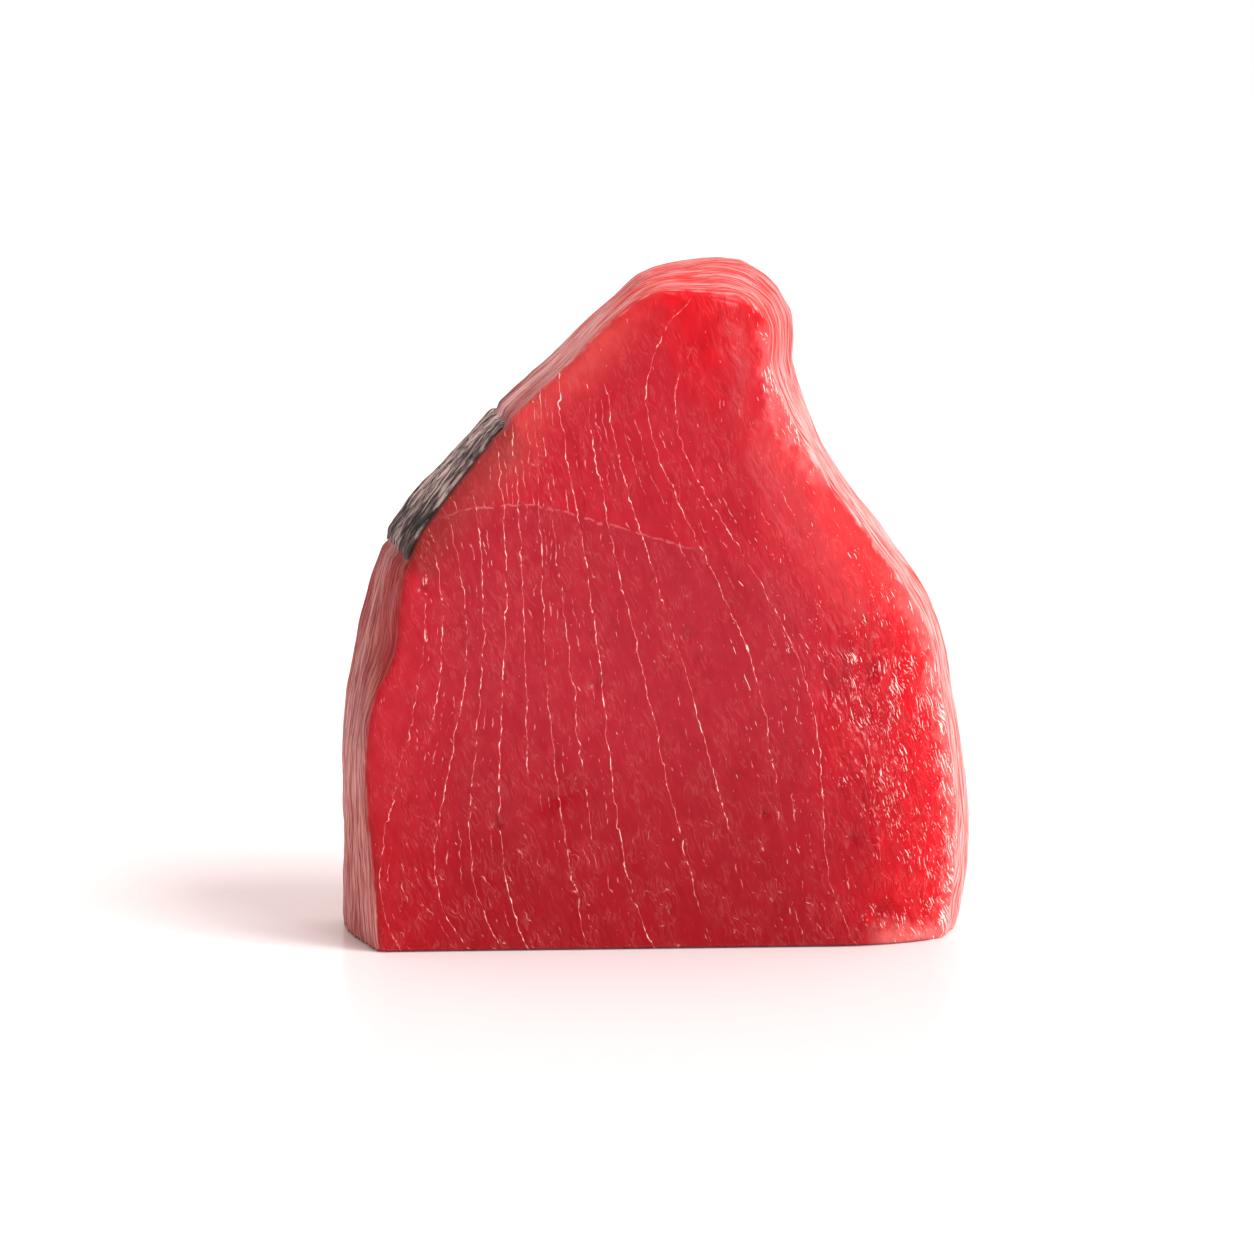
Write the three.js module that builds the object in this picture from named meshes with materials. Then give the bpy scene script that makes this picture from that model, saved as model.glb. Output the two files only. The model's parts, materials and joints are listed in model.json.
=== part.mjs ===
// A raw tuna steak, standing on its flat cut base as a block cut straight across the fish.
// Millimetres, +Z up. The two large cut faces look along -Y (front) and +Y (back). The rounded outer
// side runs between them, from the lower left corner over the peak to the lower right corner, and a
// strip of dark skin is still on its upper left.
import * as THREE from "three";

// Driving dimensions
const THICKNESS = 32; // between the two cut faces
const WIDEST_Y = 9; // depth where the outer side reaches furthest out, from mid-thickness
const FRONT_EDGE = 1.2; // radius of the edge between the front face and the outer side
const BACK_EDGE = 4.5; // how far the outer side draws in to the back face
const BASE_EDGE = 0.8; // radius of the base's front and back edges
const BASE_TURN = 4; // above 1, the base stays flat until close to its back edge
const SIDE_CURVE = 1.5; // above 1, the outer side swells fastest just behind the front face

// The front face's outline, from the lower left corner over the peak to the lower right corner.
// Each row: x, z, how far the side flares out behind that point, how far the face curves back there.
const OUTLINE = [
  [-47.4, 0, 5.8, 0],
  [-48.2, 14, 4.6, 0],
  [-49.3, 30, 3.4, 0],
  [-48.0, 42, 3.6, 0],
  [-44.2, 51, 5.7, 0],
  [-43.2, 60, 4.5, 0],
  [-41.2, 68, 3.1, 0],
  [-36.2, 75.7, 2.4, 0],
  [-26.0, 88.2, 1.2, 0],
  [-14.9, 98.9, 0.6, 0],
  [-6.6, 106.8, 0.7, 0],
  [-0.8, 110.1, 2.2, 0],
  [6.6, 110.4, 3.8, 0],
  [13.8, 109.2, 5.4, 1],
  [18.2, 104.8, 5.7, 2.5],
  [18.8, 97.2, 5.3, 3],
  [22.4, 88.8, 4.1, 3],
  [28.7, 77.9, 2.9, 3.5],
  [37.2, 66.8, 2.9, 4],
  [45.0, 54.5, 3.5, 5],
  [48.6, 39.4, 3.6, 6],
  [50.8, 24, 3.8, 6],
  [50.8, 11, 4.1, 6],
  [49.3, 0, 4.2, 6],
];
const FACE_CENTRE = [3, 47]; // every point of the outline is in sight of it
const CURVED_RIM = 19; // width of the rim in which the face curves back

// The skin that was left on, measured along the outline from the lower left corner
const SKIN_FROM = 67;
const SKIN_TO = 95.2;
const SKIN_THICK = 0.8;
const SKIN_PROUD = 0.3; // above the flesh on either side of it
const SKIN_GAP = 0.3; // between the skin and the flesh under it
const SKIN_WRINKLE = 0.16; // height of its wrinkles
const WRINKLE_ACROSS = 9.5; // radians of wrinkle for one step of v in sideProfile
const WRINKLE_SLANT = 2.2; // radians by which a wrinkle shifts over the skin's length
const WRINKLE_WAVE = 7; // radians of its sideways wave over the skin's length
const SKIN_RAGGED = 0.7; // how far its two ends run out of true
const RAGGED_REACH = 6; // above 1, only the ends themselves are ragged
const SKIN_LAST_V = 1.72; // it stops where the side turns into the back face
const SEAT_MARGIN = 0.4; // from the skin's ends to its seat, and again for the slope of the seat's ends
const SEAT_DEPTH = SKIN_THICK + SKIN_GAP - SKIN_PROUD;

// Relief
const SWELL_HEIGHT = 0.38; // of the soft swells on the cut faces
const SWELL_FADE = 8; // above 1, the swells and tears die out only close to the face's rim
// Each row: radians a millimetre across, radians a millimetre up, share of the height
const SWELLS = [
  [0.19, 0.05, 0.5],
  [-0.13, 0.11, 0.35],
  [0.33, 0.21, 0.25],
];
const FRONT_PHASE = 0.4; // the two faces' swells differ
const BACK_PHASE = 2.9;
const RIDGE_HEIGHT = 0.28; // of the folds that run along the outer side
const RIDGE_PITCH = 11; // from fold to fold
const RIDGE_WANDER = 1.8; // how far a fold drifts across the side
const RIDGE_WAVE = 9; // millimetres along the outline for one radian of that drift
const RIDGES_START = [0, 0.2]; // where the folds rise, as v in sideProfile
const RIDGES_END = [1.6, 2]; // where they fade
// Small tears in the front face: x, z, radius, depth
const TEARS = [
  [34.6, 50.5, 2.6, 0.9],
  [37.6, 3.2, 3.0, 1.1],
  [-17.5, 25.8, 2.2, 0.6],
  [-9.4, 37.6, 2.0, 0.5],
  [10.6, 57.8, 2.4, 0.5],
];
const TEAR_SQUASH = 1.6; // a tear is this much wider than it is high

// Mesh steps
const ARCH_STEP = 2.5;
const SKIN_ROWS = 19;
const SKIN_COLUMNS = 17;
const BASE_STEPS = 40;
const FACE_RINGS = 11;
const SIDE_RINGS = 8;
const BACK_RINGS = 4;
const EDGE_RINGS = 2;

const FRONT_Y = -THICKNESS / 2;
const BACK_Y = THICKNESS / 2;
const { lerp, clamp, smoothstep } = THREE.MathUtils;

const arch = new THREE.CatmullRomCurve3(OUTLINE.map(([x, z]) => new THREE.Vector3(x, 0, z)));
const archSide = new THREE.CatmullRomCurve3(
  OUTLINE.map(([, , flare, recess]) => new THREE.Vector3(flare, recess, 0)),
);
arch.arcLengthDivisions = 2000;
const ARCH_LENGTH = arch.getLength();

// The outline at a distance along it: place, outward normal, flare and recess.
function archAt(along) {
  const t = arch.getUtoTmapping(0, clamp(along, 0, ARCH_LENGTH));
  const { x, z } = arch.getPoint(t);
  const tangent = arch.getTangent(t);
  const side = archSide.getPoint(t);
  return { along, x, z, nx: -tangent.z, nz: tangent.x, flare: side.x, recess: Math.max(0, side.y) };
}

// Evenly spaced stations along the outline, with a close pair at each end of the skin's seat.
function archStations() {
  const margins = [SEAT_MARGIN, 2 * SEAT_MARGIN];
  const seatEnds = margins.flatMap((margin) => [SKIN_FROM - margin, SKIN_TO + margin]);
  const isClear = (along) => seatEnds.every((end) => Math.abs(end - along) > ARCH_STEP / 2);
  const even = steps(0, ARCH_LENGTH, Math.round(ARCH_LENGTH / ARCH_STEP)).filter(isClear);
  return [...even, ...seatEnds].sort((a, b) => a - b).map(archAt);
}

const stations = archStations();
const lastStation = stations[stations.length - 1];

// Folds along the outer side: they run with the outline, wander a little, and come and go.
function sideRidge(along, y) {
  const drift = RIDGE_WANDER * Math.sin(along / RIDGE_WAVE);
  const strength = Math.sin((along + y) / RIDGE_PITCH);
  return RIDGE_HEIGHT * strength * Math.sin((2 * Math.PI * (y + drift)) / RIDGE_PITCH);
}

// Swells of the soft flesh on a cut face.
function faceSwell(x, z, phase) {
  const wave = ([across, up, share], i) => share * Math.sin(across * x + up * z + phase * (i + 1));
  return SWELL_HEIGHT * SWELLS.map(wave).reduce((sum, height) => sum + height);
}

// How deep the tears go at a point of the front face.
function tearDepth(x, z) {
  return TEARS.reduce((deep, [tearX, tearZ, radius, depth]) => {
    const away = Math.hypot(x - tearX, (z - tearZ) * TEAR_SQUASH) / radius;
    return deep + depth * Math.exp(-away * away);
  }, 0);
}

// The outer side at a station. v runs 0 at the front edge, 1 at the widest depth, 2 at the back face.
// Gives the depth y and the inset from the widest outline.
function sideProfile(station, v) {
  if (v <= 1) {
    const y = lerp(FRONT_Y + FRONT_EDGE + station.recess, WIDEST_Y, v);
    return { y, inset: station.flare * (1 - v) ** SIDE_CURVE };
  }
  const turn = ((v - 1) * Math.PI) / 2;
  return {
    y: lerp(WIDEST_Y, BACK_Y, Math.sin(turn)),
    inset: BACK_EDGE * (1 - Math.cos(turn)),
  };
}

// A point on the outer side, raised along the outline's normal.
function sidePoint(station, v, raised) {
  const { y, inset } = sideProfile(station, v);
  const fade = smoothstep(v, ...RIDGES_START) * (1 - smoothstep(v, ...RIDGES_END));
  const out = station.flare - inset + raised + sideRidge(station.along, y) * fade;
  return new THREE.Vector3(station.x + station.nx * out, y, station.z + station.nz * out);
}

// How far the flesh is sunk under the skin at a distance along the outline.
function seat(along) {
  const reach = 1.5 * SEAT_MARGIN;
  const inSeat = along > SKIN_FROM - reach && along < SKIN_TO + reach;
  return inSeat ? SEAT_DEPTH : 0;
}

// The recess of the front edge along the base, which grows towards the lower right corner.
function baseRecess(x) {
  const share = clamp(1 - (lastStation.x - x) / CURVED_RIM, 0, 1);
  return lastStation.recess * share * share;
}

// One closed ring of the steak: the arch of points that place gives, then the straight base.
// lift is the height of the base's points, and bow adds the curve of the front edge to their depth.
function ring(place, lift, bow) {
  const points = stations.map(place);
  const right = points[points.length - 1];
  const left = points[0];
  right.z = lift;
  left.z = lift;
  points.forEach((p) => p.setZ(Math.max(p.z, lift)));
  const depth = left.y;
  for (let i = 1; i < BASE_STEPS; i++) {
    const x = lerp(right.x, left.x, i / BASE_STEPS);
    points.push(new THREE.Vector3(x, depth + bow * baseRecess(x), lift));
  }
  return points;
}

// The rings that turn from the front face into the outer side.
function frontEdgeRing(turnShare) {
  const turn = (turnShare * Math.PI) / 2;
  const inset = FRONT_EDGE * (1 - Math.sin(turn));
  const ahead = FRONT_EDGE * Math.cos(turn);
  const place = (station) => {
    const p = sidePoint(station, 0, -inset - seat(station.along));
    p.y -= ahead;
    return p;
  };
  return ring(place, BASE_EDGE * (1 - Math.sin(turn)), 1);
}

function sideRing(v) {
  const place = (station) => sidePoint(station, v, -seat(station.along));
  const lift = v > 1 ? BASE_EDGE * (v - 1) ** BASE_TURN : 0;
  return ring(place, lift, 1 - Math.min(v, 1));
}

// A ring inside a cut face: the face's rim shrunk towards the centre, with its relief.
function faceRing(rim, share, isFront) {
  const [cx, cz] = FACE_CENTRE;
  const flat = isFront ? FRONT_Y : BACK_Y;
  const reliefShare = 1 - share ** SWELL_FADE;
  return rim.map((p) => {
    const x = lerp(cx, p.x, share);
    const z = lerp(cz, p.z, share);
    const toRim = Math.hypot(p.x - x, p.z - z);
    const curve = clamp(1 - toRim / CURVED_RIM, 0, 1) ** 2;
    const relief = isFront
      ? faceSwell(x, z, FRONT_PHASE) + tearDepth(x, z)
      : -faceSwell(x, z, BACK_PHASE);
    const y = flat + (p.y - flat) * curve + relief * reliefShare;
    return new THREE.Vector3(x, y, z);
  });
}

// A closed surface through rings, with a fan over each end.
function loft(rings, frontCentre, backCentre) {
  const count = rings[0].length;
  const points = [frontCentre, ...rings.flat(), backCentre];
  const at = (j, i) => 1 + j * count + (i % count);
  const faces = [];
  for (let i = 0; i < count; i++) {
    faces.push(0, at(0, i + 1), at(0, i));
    faces.push(points.length - 1, at(rings.length - 1, i), at(rings.length - 1, i + 1));
    for (let j = 0; j < rings.length - 1; j++) {
      faces.push(at(j, i), at(j, i + 1), at(j + 1, i + 1));
      faces.push(at(j, i), at(j + 1, i + 1), at(j + 1, i));
    }
  }
  return geometryOf(points, faces);
}

// A closed slab between two grids of points of the same size: outer faces up, inner faces down.
function slab(outer, inner) {
  const rows = outer.length;
  const columns = outer[0].length;
  const points = [...outer.flat(), ...inner.flat()];
  const top = (i, j) => i * columns + j;
  const under = (i, j) => rows * columns + top(i, j);
  const faces = [];
  const quad = (a, b, c, d) => faces.push(a, b, c, a, c, d);
  for (let i = 0; i < rows - 1; i++) {
    for (let j = 0; j < columns - 1; j++) {
      quad(top(i, j), top(i + 1, j), top(i + 1, j + 1), top(i, j + 1));
      quad(under(i, j), under(i, j + 1), under(i + 1, j + 1), under(i + 1, j));
    }
    quad(under(i, 0), under(i + 1, 0), top(i + 1, 0), top(i, 0));
    quad(top(i, columns - 1), top(i + 1, columns - 1), under(i + 1, columns - 1), under(i, columns - 1));
  }
  for (let j = 0; j < columns - 1; j++) {
    quad(top(0, j), top(0, j + 1), under(0, j + 1), under(0, j));
    quad(under(rows - 1, j), under(rows - 1, j + 1), top(rows - 1, j + 1), top(rows - 1, j));
  }
  return geometryOf(points, faces);
}

function geometryOf(points, faces) {
  const geometry = new THREE.BufferGeometry().setFromPoints(points);
  geometry.setIndex(faces);
  geometry.computeVertexNormals();
  return geometry;
}

function steps(from, to, count) {
  return Array.from({ length: count + 1 }, (_, i) => lerp(from, to, i / count));
}

function fleshGeometry() {
  const frontRim = frontEdgeRing(0);
  const edge = steps(0, 1, EDGE_RINGS).slice(1).map(frontEdgeRing);
  const side = steps(0, 1, SIDE_RINGS).slice(1).map(sideRing);
  const backEdge = steps(1, 2, BACK_RINGS).slice(1).map(sideRing);
  const backRim = backEdge[backEdge.length - 1];
  const shares = steps(0, 1, FACE_RINGS).slice(1, -1);
  const frontFace = shares.map((share) => faceRing(frontRim, share, true));
  const backFace = shares.map((share) => faceRing(backRim, share, false)).reverse();
  const centre = (isFront) => faceRing([new THREE.Vector3(0, 0, 0)], 0, isFront)[0];
  return loft(
    [...frontFace, frontRim, ...edge, ...side, ...backEdge, ...backFace],
    centre(true),
    centre(false),
  );
}

// A point of the skin. end runs 0 to 1 along the outline, v across the side as in sideProfile.
function skinPoint(end, v, raised, wrinkle) {
  const nearEnd = Math.abs(2 * end - 1) ** RAGGED_REACH;
  const torn = SKIN_RAGGED * nearEnd * Math.abs(Math.sin(3 * v * v + 5 * v + 2 * end));
  const along = lerp(SKIN_FROM, SKIN_TO, end) + (end > 0.5 ? -torn : torn);
  const wave = WRINKLE_SLANT * end + Math.sin(WRINKLE_WAVE * end);
  const fold = Math.sin(WRINKLE_ACROSS * v + wave) * Math.sin(4 * end + 3 * v + 1);
  return sidePoint(archAt(along), v, raised + wrinkle * fold);
}

// The skin: a wrinkled strip across the outer side, from one cut face to the other.
function skinGeometry() {
  const grid = (raised, wrinkle) =>
    steps(0, 1, SKIN_ROWS).map((end) =>
      steps(0, SKIN_LAST_V, SKIN_COLUMNS).map((v) => skinPoint(end, v, raised, wrinkle)),
    );
  return slab(grid(SKIN_PROUD, SKIN_WRINKLE), grid(SKIN_PROUD - SKIN_THICK, 0));
}

const flesh = new THREE.Mesh(
  fleshGeometry(),
  new THREE.MeshStandardMaterial({ color: 0xbf2f38, roughness: 0.3, metalness: 0 }),
);
flesh.name = "tuna_flesh";

const skin = new THREE.Mesh(
  skinGeometry(),
  new THREE.MeshStandardMaterial({ color: 0x6f605d, roughness: 0.5, metalness: 0 }),
);
skin.name = "skin_strip";

// The origin is under the middle of the steak, on the surface it stands on.
const steak = new THREE.Group();
steak.add(flesh, skin);
const box = new THREE.Box3().setFromObject(steak);
const middle = box.getCenter(new THREE.Vector3());
steak.position.set(-middle.x, -middle.y, -box.min.z);

export default steak;
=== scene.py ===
# %% [markdown]
# A raw tuna steak
#
# A thick block of raw tuna stands on its cut base. Its front and back are cut faces, crossed by thin
# pale lines of connective tissue. Round the outside runs the flank of the fish: flesh under a thin,
# wrinkled, pale pink membrane, with one strip of dark skin still on it at the upper left.
#
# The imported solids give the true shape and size. This script loads them, then lays a finer mesh over
# each, gives it relief, and paints both with procedural materials.

# %% The frame
import json
import math

import bpy
import numpy as np
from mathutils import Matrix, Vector, noise

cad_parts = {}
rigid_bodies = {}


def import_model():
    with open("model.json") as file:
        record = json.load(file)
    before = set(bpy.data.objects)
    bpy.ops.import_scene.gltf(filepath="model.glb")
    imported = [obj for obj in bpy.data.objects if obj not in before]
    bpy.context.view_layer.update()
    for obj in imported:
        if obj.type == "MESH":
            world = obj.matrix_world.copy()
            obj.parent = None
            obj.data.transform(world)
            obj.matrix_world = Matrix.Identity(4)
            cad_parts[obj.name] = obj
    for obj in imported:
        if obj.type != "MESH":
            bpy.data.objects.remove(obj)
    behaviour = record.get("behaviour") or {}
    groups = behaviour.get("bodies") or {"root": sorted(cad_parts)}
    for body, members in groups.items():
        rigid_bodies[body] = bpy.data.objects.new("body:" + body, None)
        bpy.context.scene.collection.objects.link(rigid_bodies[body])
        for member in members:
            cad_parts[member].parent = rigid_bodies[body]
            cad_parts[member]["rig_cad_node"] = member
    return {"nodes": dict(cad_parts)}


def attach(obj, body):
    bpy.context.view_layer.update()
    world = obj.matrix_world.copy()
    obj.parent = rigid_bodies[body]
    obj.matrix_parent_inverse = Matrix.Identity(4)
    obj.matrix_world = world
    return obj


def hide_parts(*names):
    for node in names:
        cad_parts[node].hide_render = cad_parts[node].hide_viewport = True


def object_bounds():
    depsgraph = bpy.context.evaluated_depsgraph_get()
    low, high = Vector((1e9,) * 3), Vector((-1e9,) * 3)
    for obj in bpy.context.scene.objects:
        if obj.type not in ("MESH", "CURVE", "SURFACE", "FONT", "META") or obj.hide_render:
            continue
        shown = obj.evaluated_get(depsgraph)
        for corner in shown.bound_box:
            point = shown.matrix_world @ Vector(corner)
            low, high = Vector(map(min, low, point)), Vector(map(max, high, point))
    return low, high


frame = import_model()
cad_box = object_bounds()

MM = 0.001  # the scene is in metres, and most sizes below are given in millimetres

low, high = cad_box  # two corners, in metres
print("solids", [round((b - a) / MM, 1) for a, b in zip(low, high)], "mm")

# %% [markdown]
# Where the camera stands
#
# A steak shown alone is photographed with a long lens from a little above, so that its cut face
# stays nearly square and a sliver of each side shows. The camera looks at a point near the middle of
# the block from 740 mm away. Its place follows from two angles and that distance, which is easier to
# correct than three coordinates. The lights are placed by two angles too, with the same function.

# %% Camera
def direction(azimuth, elevation):
    """The way to a place so many degrees to the right of the steak's front, and so many up."""
    turn, rise = math.radians(azimuth), math.radians(elevation)
    return Vector((
        math.sin(turn) * math.cos(rise),
        -math.cos(turn) * math.cos(rise),
        math.sin(rise),
    ))


def facing_steak(toward):
    """The rotation of a camera or a light that stands that way and looks back."""
    return toward.to_track_quat("Z", "Y").to_euler()


LENS = 125.0  # mm, on a 36 mm sensor
SENSOR = 36.0  # mm
DISTANCE = 740 * MM
AZIMUTH = -3.5  # degrees, a little to the left of straight ahead
ELEVATION = 7.5  # degrees
AIM = Vector((-5.56, -0.02, 52.6)) * MM
NEAR_LIMIT = 10 * MM
FAR_LIMIT = 100.0  # metres, past the end of the floor

toward_camera = direction(AZIMUTH, ELEVATION)
bpy.ops.object.camera_add(location=AIM + toward_camera * DISTANCE)
camera = bpy.context.object
camera.name = "camera"
camera.rotation_euler = facing_steak(toward_camera)
camera.data.lens = LENS
camera.data.sensor_width = SENSOR
camera.data.clip_start = NEAR_LIMIT
camera.data.clip_end = FAR_LIMIT
bpy.context.scene.camera = camera
print("camera", [round(v / MM) for v in camera.location], "mm")

# %% [markdown]
# Shader maths that reads like maths
#
# A material is a graph of nodes. Adding each Math node by hand hides the formula, so a small class
# wraps a socket and lets Python's own operators add the nodes: `1 - mask * 0.5` is two nodes.

# %% Wires
class Wire:
    """A socket's value. Arithmetic on it adds Math nodes to its graph."""

    def __init__(self, graph, socket):
        self.graph = graph
        self.socket = socket

    def math(self, operation, *values):
        return self.graph.node("Math", {"operation": operation}, dict(enumerate(values)))

    def __add__(self, other):
        return self.math("ADD", self, other)

    def __radd__(self, other):
        return self.math("ADD", other, self)

    def __sub__(self, other):
        return self.math("SUBTRACT", self, other)

    def __rsub__(self, other):
        return self.math("SUBTRACT", other, self)

    def __mul__(self, other):
        return self.math("MULTIPLY", self, other)

    def __rmul__(self, other):
        return self.math("MULTIPLY", other, self)

    def __truediv__(self, other):
        return self.math("DIVIDE", self, other)

    def __abs__(self):
        return self.math("ABSOLUTE", self)

    def round(self):
        return self.math("ROUND", self)

    def most(self, other):
        return self.math("MAXIMUM", self, other)

    def least(self, other):
        return self.math("MINIMUM", self, other)

    def step(self, start, end):
        """0 where the value is below start, 1 above end, with a soft change between them."""
        inputs = {"Value": self, "From Min": start, "From Max": end}
        return self.graph.node("MapRange", {"interpolation_type": "SMOOTHSTEP"}, inputs)


print("wires ready")

# %% [markdown]
# A second class holds the graph. Every node comes from its method `node`, which takes the node's
# type, its settings, and a value or a wire for each socket. The other methods are short names for
# what is used most: a stored attribute, a noise, a bump, a mix of two colours.

# %% Graphs
class Graph:
    """The nodes of a material or a world."""

    def __init__(self, owner):
        self.owner = owner
        owner.use_nodes = True
        self.tree = owner.node_tree
        self.tree.nodes.clear()

    def node(self, kind, settings=None, inputs=None, output=0):
        """One node of any kind, and the wire from one of its outputs."""
        made = self.tree.nodes.new("ShaderNode" + kind)
        for name, value in (settings or {}).items():
            setattr(made, name, value)
        for name, value in (inputs or {}).items():
            if isinstance(value, Wire):
                self.tree.links.new(value.socket, made.inputs[name])
            else:
                made.inputs[name].default_value = value
        return Wire(self, made.outputs[output])

    def attribute(self, name):
        """A number stored on the points of the mesh."""
        return self.node("Attribute", {"attribute_name": name}, output="Fac")

    def place(self):
        """The point on the piece, in millimetres."""
        metres = self.node("TexCoord", output="Object")
        return self.node("VectorMath", {"operation": "SCALE"}, {0: metres, "Scale": 1 / MM})

    def vector(self, x, y, z):
        """Three numbers as one vector."""
        return self.node("CombineXYZ", {}, {"X": x, "Y": y, "Z": z})

    def split(self, vector):
        """The three numbers of a vector."""
        return [self.node("SeparateXYZ", {}, {0: vector}, axis) for axis in "XYZ"]

    def shift(self, vector, offset):
        return self.node("VectorMath", {"operation": "ADD"}, {0: vector, 1: offset})

    def stretch(self, vector, sizes):
        """The vector with each axis divided by a size in millimetres."""
        factors = [1 / size for size in sizes]
        return self.node("VectorMath", {"operation": "MULTIPLY"}, {0: vector, 1: factors})

    def noise(self, vector, sizes, detail=2.0, roughness=0.5, output=0):
        """Soft random values round 0.5, with bumps of the given sizes in millimetres."""
        inputs = {"Vector": self.stretch(vector, sizes), "Scale": 1.0}
        inputs.update({"Detail": detail, "Roughness": roughness})
        return self.node("TexNoise", {}, inputs, output)

    def warp(self, vector, size, reach):
        """The vector pushed about at random by up to half of reach, to bend what is drawn on it."""
        cloud = self.noise(vector, (size, size, size), 1.0, output="Color")
        centred = self.shift(cloud, (-0.5, -0.5, -0.5))
        push = self.node("VectorMath", {"operation": "SCALE"}, {0: centred, "Scale": reach})
        return self.shift(vector, push)

    def mix(self, share, first, second):
        """Two colours, mixed by share."""
        settings = {"data_type": "RGBA"}
        return self.node("Mix", settings, {0: share, 6: first, 7: second}, output=2)

    def bump(self, height):
        """The bent normal of a surface with that relief, in millimetres."""
        return self.node("Bump", {}, {"Height": height, "Distance": 1 * MM, "Strength": 1.0})

    def finish(self, shader, kind="OutputMaterial"):
        """Links the shader to the output, and gives the finished material or world."""
        end = self.tree.nodes.new("ShaderNode" + kind)
        self.tree.links.new(shader.socket, end.inputs["Surface"])
        return self.owner


print("graphs ready")

# %% [markdown]
# A picture gives a colour as three numbers from 0 to 255 that are spaced as the eye sees them. A
# shader counts light instead, so its numbers are worked out from those, with the usual curve.

# %% Colours as numbers
def rgb(red, green, blue):
    """A colour from 0 to 255, turned into the linear values of a shader."""
    shares = [c / 255 for c in (red, green, blue)]
    linear = [s / 12.92 if s <= 0.04045 else ((s + 0.055) / 1.055) ** 2.4 for s in shares]
    return (*linear, 1.0)


WHITE = rgb(255, 255, 255)
print("middle grey is", round(rgb(128, 128, 128)[0], 3), "of white")

# %% [markdown]
# Floor and light
#
# The steak stands on plain white. The floor has just enough gloss for a trace of reflection.

# %% Floor
FLOOR_SIZE = 30.0  # metres
FLOOR_WHITE = rgb(249, 248, 248)


def pale_floor():
    graph = Graph(bpy.data.materials.new("pale_floor"))
    inputs = {"Base Color": FLOOR_WHITE, "Roughness": 0.24, "Specular IOR Level": 0.06}
    return graph.finish(graph.node("BsdfPrincipled", {}, inputs))


bpy.ops.mesh.primitive_plane_add(size=FLOOR_SIZE, location=(0, 0, 0))
floor = bpy.context.object
floor.name = "floor"
floor.data.materials.append(pale_floor())
print("floor", FLOOR_SIZE, "m wide")

# %% [markdown]
# A large soft source stands to the right and a little in front. It whitens the right flank, picks
# out the relief of the cut face at a slant, and leaves a pink shadow on the left. A weaker one,
# lower down, puts glints on what is wet.

# %% Two soft suns
KEY_TINT = (0.95, 1.0, 1.0)


def soft_sun(name, azimuth, elevation, strength, width):
    """A soft far source, placed by two angles, with its width as an angle too, in degrees."""
    source = direction(azimuth, elevation)
    bpy.ops.object.light_add(type="SUN", location=source)
    light = bpy.context.object
    light.name = name
    light.rotation_euler = facing_steak(source)
    light.data.energy = strength
    light.data.angle = math.radians(width)
    light.data.color = KEY_TINT
    print(name, "stands", [round(v, 2) for v in source], "from the steak")


soft_sun("key_light", azimuth=56, elevation=46, strength=2.2, width=26)
soft_sun("glint_light", azimuth=30, elevation=12, strength=1.3, width=14)

# %% [markdown]
# The rest of the light comes from all round, as in a white studio, brighter from the right, the back
# and above. The world's strength therefore changes with direction. The camera sees it plain white.

# %% White studio
FILL_TINT = (1.0, 0.84, 0.82, 1.0)  # light that has met the steak on its way, as in its shadow


def white_studio(middle, lean):
    """Light from all round. Its strength changes with direction, by lean along X, Y and Z."""
    graph = Graph(bpy.data.worlds.new("white_studio"))
    ways = {0: graph.node("TexCoord", output="Generated"), 1: lean}
    along_lean = graph.node("VectorMath", {"operation": "DOT_PRODUCT"}, ways, "Value")
    light = graph.node("Background", {}, {"Color": FILL_TINT, "Strength": along_lean + middle})
    wall = graph.node("Background", {}, {"Color": WHITE, "Strength": 1.0})
    seen = graph.node("LightPath", output="Is Camera Ray")
    return graph.finish(graph.node("MixShader", {}, {0: seen, 1: light, 2: wall}), "OutputWorld")


bpy.context.scene.world = white_studio(middle=0.62, lean=(0.34, 0.50, 0.36))
bpy.context.scene.view_settings.view_transform = "Standard"
print("world", bpy.context.scene.world.name)

# %% [markdown]
# A finer mesh from a solid
#
# The solid's triangles are a few millimetres long: right for its form, too coarse for wrinkles. A
# voxel remesh lays an even net of small squares over it, and a light smooth takes away the steps
# that the voxels leave. An even net is what the later steps need, because they push its points in
# and out. Its squares are 0.6 mm wide, as small as the piece's limit on triangles lets them be.

# %% From solid to fine mesh
MERGE_REACH = 0.001 * MM


def work_on(piece):
    """Makes piece the only selected object."""
    bpy.ops.object.select_all(action="DESELECT")
    piece.select_set(True)
    bpy.context.view_layer.objects.active = piece


def fine_copy(node, name, voxel, smooth_steps):
    """A copy of a solid as an even, fine mesh."""
    work_on(frame["nodes"][node])
    bpy.ops.object.duplicate()
    piece = bpy.context.object
    piece.name = name
    piece.data.name = name
    del piece["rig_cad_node"]
    bpy.ops.object.mode_set(mode="EDIT")
    bpy.ops.mesh.select_all(action="SELECT")
    bpy.ops.mesh.remove_doubles(threshold=MERGE_REACH)
    bpy.ops.object.mode_set(mode="OBJECT")
    remesh = piece.modifiers.new("remesh", "REMESH")
    remesh.mode = "VOXEL"
    remesh.voxel_size = voxel
    bpy.ops.object.modifier_apply(modifier="remesh")
    smooth = piece.modifiers.new("smooth", "SMOOTH")
    smooth.factor = 0.5
    smooth.iterations = smooth_steps
    bpy.ops.object.modifier_apply(modifier="smooth")
    bpy.ops.object.shade_smooth()
    piece.data.materials.clear()
    print(name, len(piece.data.polygons), "squares")
    return piece


flesh = fine_copy("tuna_flesh", "steak_flesh", voxel=0.6 * MM, smooth_steps=4)

# %% [markdown]
# From here on the mesh is treated as rows of numbers: its points are read out in one go, moved all
# together, and given values of their own that the material reads. That is far quicker than going
# through tens of thousands of points one by one.

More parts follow.
